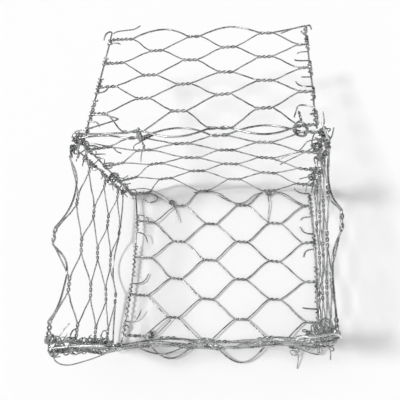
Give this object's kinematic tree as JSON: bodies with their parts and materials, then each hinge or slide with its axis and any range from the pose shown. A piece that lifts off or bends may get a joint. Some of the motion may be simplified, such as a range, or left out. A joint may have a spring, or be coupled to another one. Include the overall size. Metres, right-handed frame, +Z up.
{
  "type": "gabion basket",
  "caption": "Open box of hexagonal double-twist galvanised wire mesh with tied corners and a wire-hinged lid folded back, for filling with stone.",
  "frame": {"origin": "underside of the base mesh's middle twist, on the floor", "axes": "+X to the right along the back, +Y to the back, where the lid is folded out, +Z up"},
  "size_m": [0.4264, 0.6525, 0.3049],
  "materials": {
    "mesh_wire": "hot-dip galvanised, dull",
    "edge_wire": "hot-dip galvanised, dull",
    "tie_wire": "hot-dip galvanised, dull"
  },
  "bodies": {
    "basket": {"back_left_edge_wire": "edge_wire", "back_left_ties": "tie_wire", "back_left_wraps": "mesh_wire", "back_mesh": "mesh_wire", "back_right_edge_wire": "edge_wire", "back_right_ties": "tie_wire", "back_right_wraps": "mesh_wire", "base_left_edge_wire": "edge_wire", "base_left_wraps": "mesh_wire", "base_mesh": "mesh_wire", "base_right_edge_wire": "edge_wire", "base_right_wraps": "mesh_wire", "front_left_edge_wire": "edge_wire", "front_left_ties": "tie_wire", "front_left_wraps": "mesh_wire", "front_mesh": "mesh_wire", "front_right_edge_wire": "edge_wire", "front_right_ties": "tie_wire", "front_right_wraps": "mesh_wire", "hinge_tie_left": "tie_wire", "hinge_tie_right": "tie_wire", "left_back_edge_wire": "edge_wire", "left_back_wraps": "mesh_wire", "left_front_edge_wire": "edge_wire", "left_front_wraps": "mesh_wire", "left_mesh": "mesh_wire", "right_back_edge_wire": "edge_wire", "right_back_wraps": "mesh_wire", "right_front_edge_wire": "edge_wire", "right_front_wraps": "mesh_wire", "right_mesh": "mesh_wire"},
    "lid": {"lid_left_edge_wire": "edge_wire", "lid_left_wraps": "mesh_wire", "lid_mesh": "mesh_wire", "lid_right_edge_wire": "edge_wire", "lid_right_wraps": "mesh_wire"}
  },
  "joints": [
    {"name": "lid_hinge", "type": "hinge", "parent": "basket", "child": "lid", "pos_m": [0, 0.157, 0.2969], "axis": [1, 0, 0], "range_deg": [0, 200]}
  ]
}
